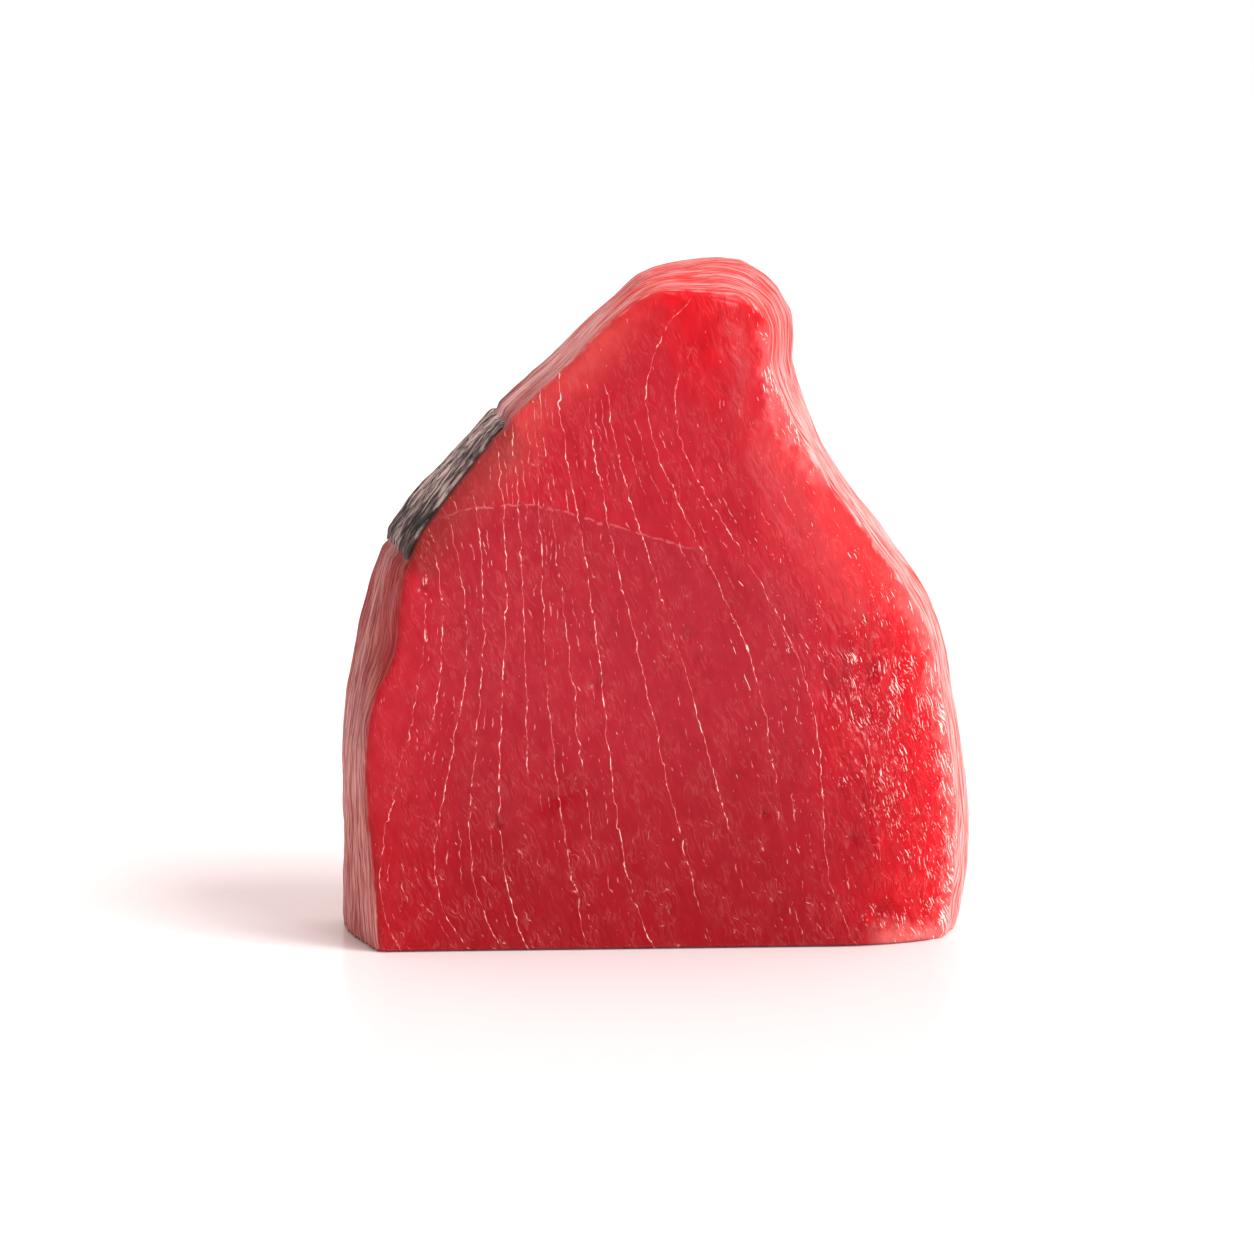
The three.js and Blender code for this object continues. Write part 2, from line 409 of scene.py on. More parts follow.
# %% Points as numbers
def points_of(piece):
    """The mesh's points, in millimetres."""
    flat = np.empty(len(piece.data.vertices) * 3)
    piece.data.vertices.foreach_get("co", flat)
    return flat.reshape(-1, 3) / MM


def normals_of(piece):
    """The direction that the surface faces at each point."""
    flat = np.empty(len(piece.data.vertices) * 3)
    piece.data.vertices.foreach_get("normal", flat)
    return flat.reshape(-1, 3)


def move_points(piece, points):
    """Puts the mesh's points where points says, in millimetres."""
    piece.data.vertices.foreach_set("co", (points * MM).ravel())
    piece.data.update()


def store(piece, name, values):
    """Keeps one number at each point of the mesh, for the material to read."""
    made = piece.data.attributes.new(name, "FLOAT", "POINT")
    made.data.foreach_set("value", np.asarray(values, np.float32))


flesh_points = points_of(flesh)
flesh_normals = normals_of(flesh)
print("flesh has", len(flesh_points), "points")

# %% [markdown]
# Knowing one's way round the surface
#
# Cut face and membrane meet at a crisp edge, and almost everything else depends on two distances:
# how far a point lies from that edge, and how far along the outline it is. Neither can be read from
# X, Y and Z alone.
#
# The surface's direction tells cut faces from flank: they look along Y, or down at the base. The edge
# runs where that measure passes a threshold, so it is found on the mesh's own edges, and each
# point's distance to the nearest place on it is positive on the flank and negative on a cut face.

# %% Distance from the edge
CUT_FACE = 0.62  # a face that looks this much along Y, or down, is a cut one
BASE_HEIGHT = 2.5  # mm, and only below it can a face that looks down be the base
CENTRE = (2.0, 47.0)  # x and z, mm, in sight of the whole outline


def smoothstep(values, start, end):
    """0 where the value is below start, 1 above end, with a soft change between them."""
    share = np.clip((values - start) / (end - start), 0, 1)
    return share * share * (3 - 2 * share)


def flank_measure(points, normals):
    """Above 0 on the flank and below 0 on the cut faces."""
    facing = np.abs(normals[:, 1])
    down = np.where(points[:, 2] < BASE_HEIGHT, -normals[:, 2], 0)
    return CUT_FACE - np.maximum(facing, down)


def edge_places(piece, points, measure):
    """Where the measure passes 0 along the mesh's edges."""
    ends = np.empty(len(piece.data.edges) * 2, np.int64)
    piece.data.edges.foreach_get("vertices", ends)
    a, b = ends.reshape(-1, 2).T
    crossing = measure[a] * measure[b] < 0
    a, b = a[crossing], b[crossing]
    share = (measure[a] / (measure[a] - measure[b]))[:, None]
    return points[a] * (1 - share) + points[b] * share


def nearest(points, places, chunk=4000):
    """The distance from each point to the nearest of the places."""
    result = np.empty(len(points))
    for start in range(0, len(points), chunk):
        part = points[start : start + chunk]
        squares = (part**2).sum(1)[:, None] + (places**2).sum(1)[None] - 2 * part @ places.T
        result[start : start + chunk] = np.sqrt(np.maximum(squares.min(1), 0))
    return result


measure = flank_measure(flesh_points, flesh_normals)
edge = edge_places(flesh, flesh_points, measure)
crease = nearest(flesh_points, edge) * np.sign(measure)
print("edge places", len(edge), "distances", crease.min().round(1), "to", crease.max().round(1), "mm")

# %% [markdown]
# The distance along the outline comes from the angle round the block's centre. The flank's mean
# radius is taken every three degrees, which gives the outline as a polygon, and the lengths of its
# sides add up to a scale from angle to millimetres. It starts under the block and runs clockwise, so
# the left flank comes first, then the peak, then the right flank.

# %% Distance along the outline
OUTLINE_STEP = 3  # degrees from one corner of the polygon to the next
OUTLINE_REACH = 2.0  # degrees to each side in which points count for a corner
SURELY_FLANK = 1.0  # mm from the edge


def angle_round(points):
    """Degrees round the centre, clockwise from straight down as the front is seen."""
    x, z = points[:, 0] - CENTRE[0], points[:, 2] - CENTRE[1]
    return np.degrees(np.arctan2(-x, -z)) % 360


def outline_scale(points, on_flank):
    """Angles, and the distances along the outline there."""
    flank = points[on_flank]
    angle = angle_round(flank)
    radius = np.hypot(flank[:, 0] - CENTRE[0], flank[:, 2] - CENTRE[1])
    degrees = np.arange(0, 361, OUTLINE_STEP)
    mean = [radius[np.abs(angle - d) < OUTLINE_REACH] for d in degrees]
    mean = np.array([m.mean() if len(m) else np.nan for m in mean])
    known = ~np.isnan(mean)
    mean = np.interp(degrees, degrees[known], mean[known])
    turn = np.radians(degrees)
    corners = np.stack([mean * np.sin(turn), mean * np.cos(turn)], 1)
    lengths = np.hypot(*np.diff(corners, axis=0).T)
    return degrees, np.concatenate([[0], np.cumsum(lengths)])


degrees, distances = outline_scale(flesh_points, crease > SURELY_FLANK)


def along_outline(points):
    """The distance of each point along the outline, in millimetres."""
    return np.interp(angle_round(points), degrees, distances)


along = along_outline(flesh_points)
skin_along = along_outline(points_of(frame["nodes"]["skin_strip"]))
SKIN_START, SKIN_END = np.percentile(skin_along, [2, 98])  # the strip's ends, less their own edges
print("outline", distances[-1].round(), "mm, skin from", SKIN_START.round(), "to", SKIN_END.round())

# %% [markdown]
# Where the pale lines run
#
# A tuna's muscle is built in nested cones, with a sheet of connective tissue between each two. A cut
# across the fish shows those sheets as a family of thin pale lines that never cross. They are listed
# one by one: each line has a strength, a lowest and a highest point, and its x at six heights.
#
# The material has to find the nearest line anywhere on the face. So the lines are numbered, and
# every point gets a number between those of the lines on its left and right. Whole numbers are
# lines. That number changes evenly, so a mesh of 0.6 mm carries a line of 0.2 mm without a break.

# %% Lines of connective tissue
HEIGHTS = [4, 22, 38, 56, 76, 104]
# strength, lowest z, highest z, x at each height, all in mm
SEPTA = [
    (0.0, -9, 130, [-58, -58, -58, -56, -54, -50]),
    (0.6, 0, 66, [-46.3, -46.2, -43.6, -39.2, -42.4, -46]),
    (0.9, 38, 70, [-41.6, -42.4, -39.6, -36.8, -40.4, -42]),
    (0.8, 0, 74, [-35.8, -37.6, -36.0, -32.5, -37.4, -38]),
    (0.75, 0, 78, [-29.6, -32.2, -32.6, -29.3, -32.2, -35]),
    (1.0, 0, 88, [-24.8, -27.4, -28.4, -26.2, -27.4, -31]),
    (0.6, 30, 98, [-20.2, -22.2, -24.0, -23.2, -24.8, -28]),
    (0.6, 2, 100, [-14.0, -17.2, -19.4, -20.4, -21.0, -24]),
    (0.65, 18, 96, [-9.4, -12.6, -15.4, -16.4, -19.6, -21]),
    (1.0, 0, 98, [-3.8, -8.0, -10.4, -11.7, -15.4, -18]),
    (0.8, 8, 92, [6.6, 1.8, -2.0, -6.0, -10.6, -13]),
    (0.95, 20, 94, [14.6, 10.2, 5.4, 0.6, -6.1, -11]),
    (0.8, 22, 108, [22.4, 19.2, 16.4, 11.8, 1.6, -0.4]),
    (0.6, 0, 100, [30.0, 27.0, 24.0, 19.6, 6.6, 6.8]),
    (0.4, 14, 50, [39, 36, 32, 27.4, 14.0, 14.0]),
    (0.0, -9, 130, [58, 56, 53, 46, 30, 26]),
]
TILT = 0.10  # sideways run of a line for each millimetre of depth
CURVE_POWER = 4  # the lines are smooth curves of this power through their six places
TOP_HEIGHT = 112  # mm, above which the lines go straight up
LEAST_SPACING = 0.5  # mm
LINE_FADE = 3  # mm over which a line comes and goes at its ends


def septum_field(points):
    """Number, spacing and strength of the lines at each point."""
    x = points[:, 0] - TILT * (points[:, 1] - low[1] / MM)
    z = np.clip(points[:, 2], 0, TOP_HEIGHT)
    rows = np.stack([np.polyval(np.polyfit(HEIGHTS, xs, CURVE_POWER), z) for *_, xs in SEPTA])
    rows = np.maximum.accumulate(rows, axis=0)
    left = np.clip((rows <= x).sum(0) - 1, 0, len(SEPTA) - 2)
    where = np.arange(len(x))
    spacing = np.maximum(rows[left + 1, where] - rows[left, where], LEAST_SPACING)
    number = left + (x - rows[left, where]) / spacing
    closest = np.clip(np.round(number), 0, len(SEPTA) - 1).astype(int)
    strength, bottom, top = [column[closest] for column in np.array([row[:3] for row in SEPTA]).T]
    fade = smoothstep(points[:, 2], bottom - LINE_FADE, bottom + LINE_FADE)
    fade *= 1 - smoothstep(points[:, 2], top - LINE_FADE, top + LINE_FADE)
    return number, spacing, strength * fade


number, spacing, strength = septum_field(flesh_points)
store(flesh, "septum", number)
store(flesh, "spacing", spacing)
store(flesh, "strength", strength)
store(flesh, "crease", crease)
store(flesh, "along", along)
print(len(SEPTA) - 2, "lines,", spacing[crease < 0].mean().round(1), "mm apart on average")

# %% [markdown]
# One sheet crosses the others: it runs from the skin strip to the right at two thirds of the height,
# and the flesh above it is a brighter red. It is kept as the height above that line.

# %% The crossing line
# x and z, mm
CROSSING = [
    (-46, 70),
    (-33, 74.6),
    (-21.5, 75.4),
    (-9.9, 71.8),
    (10.4, 66.2),
    (19, 62),
    (30, 59.5),
    (54, 50),
]
crossing_x, crossing_z = np.array(CROSSING).T
above = flesh_points[:, 2] - np.interp(flesh_points[:, 0], crossing_x, crossing_z)
store(flesh, "above", above)
print("above the crossing line", round(float((above > 0).mean()), 2), "of the surface")

# %% [markdown]
# Relief
#
# Raw flesh isn't flat where a knife has been: the cut swells softly, it is dimpled where fibres
# pulled out, and on the right, where the face rolls back, it is rippled and wet. The membrane is
# wrinkled along the outline. Each of these is a sum of Perlin noise, stretched to the size and
# direction of the real thing, that moves the points along their normals. Finer grain is left to the
# bump in the material.
#
# Each noise below has its own size along each axis, and its own seed, so no two of them repeat each
# other. The number in front of it is its height or its reach, in millimetres.

# %% Noise
def bumps(points, sizes, seed):
    """Perlin noise from -1 to 1, with bumps of the given sizes, in mm."""
    places = points / np.asarray(sizes) + seed
    return np.array([noise.noise(place) for place in places.tolist()])


def turned(points, degrees):
    """The points turned in the plane of the cut face."""
    c, s = math.cos(math.radians(degrees)), math.sin(math.radians(degrees))
    x, y, z = points.T
    return np.stack([x * c - z * s, y, x * s + z * c], 1)


print("noise at the centre", round(float(bumps(np.zeros((1, 3)), (9, 9, 13), 3.1)[0]), 2))

# %% [markdown]
# Where fibres pulled out with the knife there are small pits, and beside them torn flaps stand up.
# These are seen one by one, so they are listed one by one, each as a soft round dent or lump.

# %% Pits and flaps
# x, z, radius and depth, in mm. A flap has a depth below 0.
PITS = [
    (-18.4, 33.2, 0.9, 0.45),
    (-19.7, 34.0, 0.7, -0.35),
    (-28.4, 21.6, 0.9, 0.6),
    (-11.6, 45.4, 1.2, 0.5),
    (-10.9, 49.3, 0.7, -0.30),
    (3.4, 53.6, 1.3, 0.4),
    (4.8, 49.6, 1.1, 0.3),
    (16.4, 23.2, 0.7, 0.5),
    (34.6, 46.8, 2.2, 0.6),
    (31.3, 49.0, 1.1, -0.8),
    (27.6, 44.6, 1.8, 0.5),
    (35.8, 17.3, 0.9, -0.45),
    (38.8, 7.8, 0.7, -0.35),
    (36.4, 6.0, 1.6, 0.5),
    (34.0, 4.3, 0.9, -0.6),
    (36.6, 3.4, 1.0, -0.6),
    (39.0, 2.9, 0.9, -0.5),
    (43.0, 3.4, 0.9, -0.4),
    (47.0, 4.0, 1.0, -0.5),
    (31.4, 18.6, 1.2, 0.5),
    (-40.4, 61.6, 0.8, 0.5),
]


def pit_relief(points):
    """Dents and lumps of the front face."""
    front = points[:, 1] < 0
    total = np.zeros(len(points))
    for x, z, radius, depth in PITS:
        away = np.hypot(points[:, 0] - x, points[:, 2] - z) / radius
        total -= depth * np.exp(-(away**2)) * front
    return total


pits = pit_relief(flesh_points)
print(len(PITS), "pits and flaps from", pits.min().round(2), "to", pits.max().round(2), "mm")

# %% [markdown]
# The rest of a cut face swells and dimples softly. At the upper right the knife left it smoother. On
# the right, lower down, it is wet and rippled, but for one glassy patch near the corner.

# %% Relief of the cut faces
def cut_relief(points):
    """Soft swells and shallow dimples, smoother at the upper right."""
    x, y, z = points.T
    swell = 0.15 * bumps(points, (9, 9, 13), 3.1)
    dimple = 0.05 * bumps(points, (2.8, 2.8, 3.8), 7.7)
    fibre = 0.06 * bumps(turned(points, 14), (1.6, 2.0, 5.0), 11.3)
    smooth = smoothstep(x, 8, 22) * smoothstep(z, 46, 58) * (y < 0)
    return (swell + dimple + fibre) * (1 - 0.65 * smooth)


def wet_share(points):
    """1 where the right of the front face is rippled and wet."""
    x, y, z = points.T
    patchy = 6 * bumps(points, (7, 7, 9), 15.9)
    right = smoothstep(x + 0.12 * z + patchy, 24, 44)
    glassy = np.exp(-(((x - 36) / 8) ** 2 + ((z - 12) / 9) ** 2))
    low_down = 1 - smoothstep(z, 44, 66)
    return right * low_down * (1 - 0.75 * glassy) * (y < 6)


def ripple_relief(points):
    """Wet ripples that slant down to the right."""
    slanted = turned(points, 26)
    long_ones = bumps(slanted, (1.5, 3.0, 5.0), 23.9)
    short_ones = bumps(slanted, (1.2, 2.0, 2.4), 31.7)
    return 0.22 * np.abs(long_ones) + 0.16 * short_ones


cut_height = cut_relief(flesh_points) + pits
wet = wet_share(flesh_points)
print("cut relief", cut_height.min().round(2), "to", cut_height.max().round(2), "mm")

# %% [markdown]
# The membrane dries in wrinkles. It is thought of as a sheet unrolled from the flank, so that noise
# that is long along the sheet and short across it gives strands that part and meet.

# %% Relief of the membrane
def on_sheet(points, along):
    """The flank laid flat: distance along the outline, depth, nothing."""
    return np.stack([along, points[:, 1], np.zeros(len(along))], 1)


def membrane_relief(points, along):
    """Wrinkles that run along the outline, in strands that part and meet."""
    sheet = on_sheet(points, along)
    sheet[:, 1] += 1.5 * bumps(sheet, (13, 9, 1), 2.2)
    folds = 1 - 2 * np.abs(bumps(sheet, (15, 3.2, 1), 41.3))
    strands = 1 - 2 * np.abs(bumps(sheet, (7, 1.8, 1), 47.9))
    dents = bumps(sheet, (6, 4.0, 1), 53.1)
    return 0.22 * folds + 0.13 * strands + 0.18 * dents


folds = membrane_relief(flesh_points, along)
print("wrinkles", folds.min().round(2), "to", folds.max().round(2), "mm")

# %% [markdown]
# Each relief is now added up where it belongs: the cut's inside the faces, the membrane's on the
# flank but not under the skin strip. All of it fades out at the floor, so the base stays flat.

# %% Where each relief lies
def rising(values, start, end, soft):
    """1 between start and end, falling off within soft beyond them."""
    return smoothstep(values, start - soft, start) * (1 - smoothstep(values, end, end + soft))


flank_share = smoothstep(crease, -0.2, 1.0)
under_skin = rising(along, SKIN_START, SKIN_END, 1.2)
off_floor = smoothstep(flesh_points[:, 2], 0.3, 2.5)

height = cut_height * (1 - flank_share) * smoothstep(-crease, 0, 1.5)
height += ripple_relief(flesh_points) * wet * (1 - flank_share) * smoothstep(-crease, 0, 1.0)
height += folds * flank_share * (1 - under_skin)
store(flesh, "wet", wet)
store(flesh, "folds", folds)
store(flesh, "pit", pits)
print("relief", height.min().round(2), "to", height.max().round(2), "mm")

# %% [markdown]
# The solid has a shallow seat under the skin strip. Real skin grows on the flesh, so the flesh is
# brought up against it here, straight out from the middle, and the rim of the face comes along.

# %% Flesh under the skin
SEAT_RISE = 0.55  # mm


def outward(points):
    """The direction from the block's centre, in the plane of the cut face."""
    away = np.stack([points[:, 0] - CENTRE[0], np.zeros(len(points)), points[:, 2] - CENTRE[1]], 1)
    return away / np.linalg.norm(away, axis=1, keepdims=True)


seat_share = under_skin * smoothstep(crease, -1.2, 0.2)
moved = flesh_points + flesh_normals * (height * off_floor)[:, None]
moved += outward(flesh_points) * (SEAT_RISE * seat_share)[:, None]
move_points(flesh, moved)
print("flesh moved by up to", np.linalg.norm(moved - flesh_points, axis=1).max().round(2), "mm")

# %% [markdown]
# How raw tuna is coloured
#
# Tuna is deep red muscle with a little fat, and light goes a few millimetres into it. Two things
# follow. Thin places, such as the rims of the face, glow a brighter, more orange red, and the middle
# looks muted, because pale fibres just below the surface scatter light back. Subsurface scattering
# gives some of the glow. The rest is painted glow: a brighter, more orange red painted along the
# rims, and in part the brighter red towards the right and left edges. The painted colours give the
# zones.
#
# The flesh material is one graph for the whole piece. The stored distances tell it which part of the
# surface it is on.

# %% Colours of the flesh
DEEP = rgb(157, 10, 25)  # the darkest muscle, low on the face
MUTED = rgb(175, 35, 51)  # the middle
BRIGHT = rgb(214, 5, 24)  # under the peak and towards the right
# The next two colours are painted glow, for light that shines through the thin rims.
PAINTED_RIM_GLOW = rgb(244, 52, 53)  # thin rims
PAINTED_PALE_RIM_GLOW = rgb(210, 78, 76)  # the rim above the skin strip
# Dark red for the mottle's dark spots, and for painted shade in the pits' hollows.
DARK_SPOT_AND_PIT_SHADE = rgb(128, 4, 12)
LINE = rgb(246, 150, 146)  # connective tissue
# Painted highlight: the colour of the white glints.
PAINTED_GLINT = rgb(255, 232, 226)  # where it is wet and faces the light
FILM = rgb(255, 214, 208)  # membrane, dry and pale
FILM_RED = rgb(234, 50, 49)  # membrane where the flesh shows through
FILM_MAUVE = rgb(246, 155, 146)  # membrane stained by the skin
FILM_BROWN = rgb(138, 38, 36)
FILM_INNER = rgb(176, 6, 10)  # membrane beside the face, below the skin
STAIN = rgb(146, 48, 48)  # the face beside the skin
SPECK = rgb(74, 50, 47)  # flecks of pigment that the skin left

print("the darkest red has", round(DEEP[0] / PAINTED_RIM_GLOW[0], 2), "of the light of the brightest")

# %% [markdown]
# The zones are soft steps along X, up Z and along the stored distances, in millimetres. Each is
# shifted to and fro by one slow noise, so no border is straight.

# %% Zones of the muscle
def between_steps(wire, start, end, soft):
    """1 between start and end, falling off within soft beyond them."""
    return wire.step(start - soft, start) * (1 - wire.step(end, end + soft))


def muscle_colour(graph, place, on):
    """The zones of red on a cut face, with painted glow on the rims."""
    x, y, z = graph.split(place)
    patches = graph.noise(place, (15, 15, 20), 1.0) - 0.5
    bands = graph.noise(graph.vector(on["septum"], z * 0.06, 0.0), (0.8, 1.0, 1.0), 1.0) - 0.5
    low_down = 1 - (z + patches * 24).step(6, 50)
    colour = graph.mix(low_down * 0.95, MUTED, DEEP)
    # Brighter red to the right and left: partly the muscle's own colour, partly painted glow.
    toward_right = (x + z * 0.22 + patches * 22).step(26, 50)
    under_peak = (z - abs(x - 8) * 0.9 + patches * 24).step(84, 108)
    toward_left = 1 - (x + patches * 12).step(-44, -32)
    colour = graph.mix((toward_right * 0.75).most(under_peak * 0.80), colour, BRIGHT)
    colour = graph.mix(toward_left * 0.16, colour, BRIGHT)
    further_right = x.step(0, 22)
    sharp, soft = on["above"].step(-0.5, 0.9), on["above"].step(-3, 12)
    upper = sharp * (1 - further_right) + soft * further_right
    colour = graph.mix(upper * 0.24, colour, BRIGHT)
    colour = graph.mix(bands.step(0.0, 0.22) * 0.25, colour, DEEP)
    # Painted glow: the thin rims are painted brighter, most at the upper right, paler at the upper
    # left.
    right_rim_glow = x.step(6, 24) * between_steps(z, 50, 80, 16) * 0.75
    left_rim_glow = (1 - x.step(-12, 2)) * z.step(70, 84) * 0.78
    rim = (on["crease"] + patches * 9).step(-9.0, 0.5)
    colour = graph.mix(rim * right_rim_glow.most(0.08), colour, PAINTED_RIM_GLOW)
    return graph.mix(rim * left_rim_glow, colour, PAINTED_PALE_RIM_GLOW)


print("muscle zones ready")

# %% [markdown]
# The lines are drawn from the stored numbers. The distance to the nearest line is how far the number
# is from a whole one, times the spacing. A little noise bends the line, and more noise along it turns
# it into a string of beads that fades and comes back, as the tissue does where the knife has cut
# through it at a slant. Thinner lines run between the main ones, three to each gap, and others fan
# out from them lower down.

# %% Lines of the cut face
THIRDS = 3.0  # thin lines for each gap between main ones
FAN = 2.6  # lines that fan out, for each such gap
FAN_LEAN = 0.21  # how much the number of a fan line grows with each mm of height


def near_line(number, spacing, half_width):
    """1 on the lines of a numbered family, 0 between them."""
    away = abs(number - number.round()) * spacing
    return 1 - (away / half_width).step(0.4, 1.0)


def septum_lines(graph, place, on):
    """The main lines, the thinner ones, and where their beads get a painted highlight."""
    z = graph.split(place)[2]
    sway, gaps = on["sway"], on["gaps"]
    kinks = graph.noise(place, (1.1, 1.1, 1.5), 1.0) - 0.5
    beads = graph.noise(place, (0.6, 0.6, 1.1), 1.0)
    bend = sway * 1.5 + kinks * 0.7
    main_width = beads * 0.15 - 0.005
    main = near_line(on["septum"] + bend / on["spacing"], on["spacing"], main_width)
    main = main * on["strength"] * (gaps * 1.2 + beads * 0.9).step(0.16, 0.50)
    thirds = on["septum"] * THIRDS + (sway * 4.5 + kinks * 2.4) / on["spacing"]
    fine = near_line(thirds, on["spacing"] / THIRDS, beads * 0.15)
    fine = fine * (gaps * 1.3 + beads * 0.6 + between_steps(z, 76, 92, 5) * 0.14).step(0.42, 0.62)
    slanted = on["septum"] * FAN + z * FAN_LEAN + sway * 1.8 + kinks * 0.7
    fan = near_line(slanted, on["spacing"] / FAN, beads * 0.16)
    fan = fan * (beads * 0.6 - gaps * 1.3 - z.step(12, 30) * 0.14).step(0.40, 0.58)
    minor = fine.most(fan) * (1 - z.step(88, 97))
    return main, minor, beads.step(0.52, 0.62)


print("thin lines are about", (spacing[crease < 0].mean() / THIRDS).round(1), "mm apart")

# %% [markdown]
# Between the lines there are hair-fine fibres, and the flesh is finely rippled. Both run steeply down
# to the right, so they share one set of coordinates: across the ripples, and down along them, with a
# slow noise to bend them. The fibres are level lines of a noise drawn on it.
#
# Wet flesh glints wherever a tiny ripple faces the light, most of all on the right. Here those glints
# are painted highlights: white strokes in the colour, along the ripples, drawn from the slope of a
# noise: its value here less its value a hair's breadth away.

# %% Fibres and glints
SLANT = math.radians(20)  # of the ripples from upright
OTHER_PART = (0.0, 0.0, 50.0)  # mm, far enough away in the same noise to look like a new one
FIBRE_SIZES = (0.55, 3.0, 3.2)  # mm, across, in depth and down


def along_ripples(graph, place, sway):
    """Across the ripples, depth, and down along them."""
    x, y, z = graph.split(place)
    across = x * math.cos(SLANT) + z * math.sin(SLANT) + sway * 2.4
    down = x * math.sin(SLANT) - z * math.cos(SLANT)
    return graph.vector(across, y, down)


def hair_fibres(graph, ripples, gaps):
    """1 on the fibres, and a faint grain between them."""
    grain = graph.noise(graph.shift(ripples, OTHER_PART), FIBRE_SIZES, 1.5, 0.6) - 0.5
    return (1 - abs(grain).step(0.0, 0.06)) * (0.08 - gaps).step(0.0, 0.16) + grain


def glints(graph, ripples, width, length, limit):
    """Painted glints where ripples, width by length in mm, face the light. A low limit gives more."""
    sizes = (width, 3.0, length)
    here = graph.noise(ripples, sizes, 1.0)
    beside = graph.noise(graph.shift(ripples, (width * 0.25, 0.0, length * 0.05)), sizes, 1.0)
    return (here - beside - limit).step(0.0, 0.05)


print("fibres are about", FIBRE_SIZES[0], "mm apart")

# %% [markdown]
# The membrane is a thin sheet of strands that run along the outline. Where it is dry it is pale and
# hides the flesh, and in the furrows the flesh shows through. Below the skin strip it is stained
# mauve and brown by the pigment that the skin left behind.

# %% Membrane
FURROW_GAP = 2.5  # mm from one furrow to the next
FURROW_WIDTH = 0.34  # mm, to each side
CREST_GAP = 1.6  # mm
CREST_WIDTH = 0.22  # mm, to each side
CREST_OFFSET = 1.3  # mm, so that crests and furrows seldom meet


def wavy_lines(depth, gap, half_width):
    """1 on lines that run along the outline, gap apart, 0 between them."""
    number = depth / gap
    return 1 - (abs(number - number.round()) * gap / half_width).step(0.2, 1.2)


def membrane(graph, place, on):
    """The colour of the flank, and the height of its fine wrinkles."""
    x, y, z = graph.split(place)
    drift = graph.noise(place, (16, 16, 16), 1.0) - 0.5
    sheet = graph.warp(graph.vector(on["along"], y + drift * 5.0, 0.0), 8.0, 0.9)
    strands = graph.noise(sheet, (17.0, 1.5, 1.0), 3.0, 0.6) - 0.5
    threads = graph.noise(sheet, (9.0, 0.5, 1.0), 2.0) - 0.5
    patches = graph.noise(sheet, (8.0, 4.0, 1.0), 2.0) - 0.5
    bent = graph.split(sheet)[1] + strands * 2.4
    furrows = wavy_lines(bent, FURROW_GAP, FURROW_WIDTH)
    furrows = furrows * (strands + patches).step(-0.16, 0.04)
    crests = wavy_lines(bent + CREST_OFFSET, CREST_GAP, CREST_WIDTH)
    crests = crests * (threads * 0.8 - patches).step(-0.14, 0.04)
    on_peak = z.step(88, 106)
    pale = (on["folds"] * 0.8 + strands * 1.4 + threads * 2.6 + patches * 0.9).step(-0.40, 0.56)
    pale = (pale * 0.66).most(crests * 0.78) * (1 - furrows * 0.66)
    pale = pale * (on_peak * 0.15 + 1) - on_peak * 0.40
    # Painted light: the upper left of the flank, which faces away from the main light, is painted
    # paler.
    painted_light = between_steps(x, -30, -13, 13) * 0.38
    colour = graph.mix((pale + painted_light).most(0.0).least(1.0), FILM_RED, FILM)
    edge_of_stain = on["along"] + patches * 18
    stained = 1 - edge_of_stain.step(SKIN_START + 2, SKIN_END - 8)
    mauve = graph.mix((pale * 1.40 - 0.06).most(0.0).least(1.0), FILM_BROWN, FILM_MAUVE)
    colour = graph.mix(stained * (0.62 + z.step(12, 44) * 0.30), colour, mauve)
    # Painted glow: the back rim of the flank on the left is painted a glowing red.
    far_rim_glow = y.step(7, 15) * (1 - x.step(-20, 0))
    colour = graph.mix(far_rim_glow * 0.50, colour, PAINTED_RIM_GLOW)
    beside_face = 1 - (on["crease"] + patches * 6).step(6.0, 15.0)
    near_rim = beside_face * z.step(34, 54) * (1 - x.step(-30, -10))
    colour = graph.mix(near_rim * (0.97 - pale * 0.15), colour, FILM_INNER)
    from_skin = (SKIN_START - on["along"]).most(on["along"] - SKIN_END)
    specks = (threads * 2.4 + strands * 1.5 + patches - from_skin * 0.07).step(-0.05, 0.20)
    colour = graph.mix(specks * 0.75, colour, SPECK)
    return colour, strands * 1.3 + threads * 0.6 + crests * 0.20 - furrows * 0.3


print("membrane ready, furrows", FURROW_GAP, "mm apart")

# %% [markdown]
# Cut muscle is mottled, and the hollows of its pits get painted shade. Beside the skin it is stained
# brown, and on the right a scrap of the pale film is drawn over the rim and over the lowest few
# millimetres.

# %% Stains and film on the cut face
STAIN_DEPTH = 8.5  # mm inside the edge
STAIN_FADE = 12  # mm along the outline, over which the stain turns from dark to light brown


